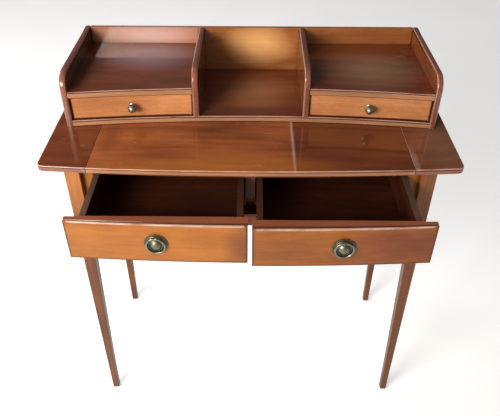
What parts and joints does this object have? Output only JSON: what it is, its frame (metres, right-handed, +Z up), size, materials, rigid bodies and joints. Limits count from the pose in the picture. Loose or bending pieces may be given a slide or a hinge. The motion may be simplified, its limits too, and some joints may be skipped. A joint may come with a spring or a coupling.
{
  "type": "secretary desk",
  "caption": "Bow-fronted writing desk on slim tapered legs, with ring-pulled frieze drawers, a pull-out writing slide and a low gallery of trays, small knobbed drawers and an open bay.",
  "frame": {"origin": "middle of the floor under the whole object as it rests, with both frieze drawers part open", "axes": "+Z up, +X to the sitter's right, -Y towards the sitter"},
  "size_m": [0.8086, 0.5334, 0.886],
  "materials": {
    "case_wood": "polished red-brown cherry",
    "drawer_wood": "thin dark stain, satin",
    "frame_wood": "bare sawn wood",
    "aged_brass": "aged, dark in the recesses",
    "steel": "plain"
  },
  "bodies": {
    "desk": {"apron_back": "case_wood", "apron_left": "case_wood", "apron_right": "case_wood", "divider_left": "case_wood", "divider_right": "case_wood", "foot_glides": "steel", "gallery_back": "case_wood", "gallery_base": "case_wood", "gallery_screws": "steel", "gallery_side_left": "case_wood", "gallery_side_right": "case_wood", "kicker_middle": "frame_wood", "leg_front_left": "case_wood", "leg_front_right": "case_wood", "leg_rear_left": "case_wood", "leg_rear_right": "case_wood", "rail_front_bottom": "case_wood", "rail_front_top": "case_wood", "runner_left": "frame_wood", "runner_middle": "frame_wood", "runner_right": "frame_wood", "slide_bearer_left": "frame_wood", "slide_bearer_right": "frame_wood", "stile_left": "case_wood", "stile_middle": "case_wood", "stile_right": "case_wood", "top_back_strip": "case_wood", "top_end_left": "case_wood", "top_end_right": "case_wood", "tray_left": "case_wood", "tray_right": "case_wood"},
    "writing_slide": {"writing_slide": "case_wood", "slide_stop": "frame_wood"},
    "frieze_drawer_left": {"frieze_left_back": "drawer_wood", "frieze_left_bottom": "drawer_wood", "frieze_left_front": "case_wood", "frieze_left_pull_bolt": "aged_brass", "frieze_left_pull_plate": "aged_brass", "frieze_left_side_inner": "drawer_wood", "frieze_left_side_outer": "drawer_wood"},
    "pull_ring_left": {"frieze_left_pull_ring": "aged_brass"},
    "small_drawer_left": {"small_left_back": "drawer_wood", "small_left_bottom": "drawer_wood", "small_left_front": "case_wood", "small_left_knob": "aged_brass", "small_left_sides": "drawer_wood"},
    "frieze_drawer_right": {"frieze_right_back": "drawer_wood", "frieze_right_bottom": "drawer_wood", "frieze_right_front": "case_wood", "frieze_right_pull_bolt": "aged_brass", "frieze_right_pull_plate": "aged_brass", "frieze_right_side_inner": "drawer_wood", "frieze_right_side_outer": "drawer_wood"},
    "pull_ring_right": {"frieze_right_pull_ring": "aged_brass"},
    "small_drawer_right": {"small_right_back": "drawer_wood", "small_right_bottom": "drawer_wood", "small_right_front": "case_wood", "small_right_knob": "aged_brass", "small_right_sides": "drawer_wood"}
  },
  "joints": [
    {"name": "frieze_drawer_left_slide", "type": "slide", "parent": "desk", "child": "frieze_drawer_left", "axis": [0, -1, 0], "range_m": [-0.147, 0.0657]},
    {"name": "pull_ring_left_hinge", "type": "hinge", "parent": "frieze_drawer_left", "child": "pull_ring_left", "pos_m": [-0.17225, -0.25463, 0.692], "axis": [-0.9993, 0.0374, 0], "range_deg": [0, 95]},
    {"name": "small_drawer_left_slide", "type": "slide", "parent": "desk", "child": "small_drawer_left", "axis": [0, -1, 0], "range_m": [0, 0.15]},
    {"name": "frieze_drawer_right_slide", "type": "slide", "parent": "desk", "child": "frieze_drawer_right", "axis": [0, -1, 0], "range_m": [-0.1553, 0.0574]},
    {"name": "pull_ring_right_hinge", "type": "hinge", "parent": "frieze_drawer_right", "child": "pull_ring_right", "pos_m": [0.17225, -0.26293, 0.692], "axis": [-0.9993, -0.0374, 0], "range_deg": [0, 95]},
    {"name": "small_drawer_right_slide", "type": "slide", "parent": "desk", "child": "small_drawer_right", "axis": [0, -1, 0], "range_m": [0, 0.15]},
    {"name": "writing_slide_travel", "type": "slide", "parent": "desk", "child": "writing_slide", "axis": [0, -1, 0], "range_m": [0, 0.18]}
  ]
}
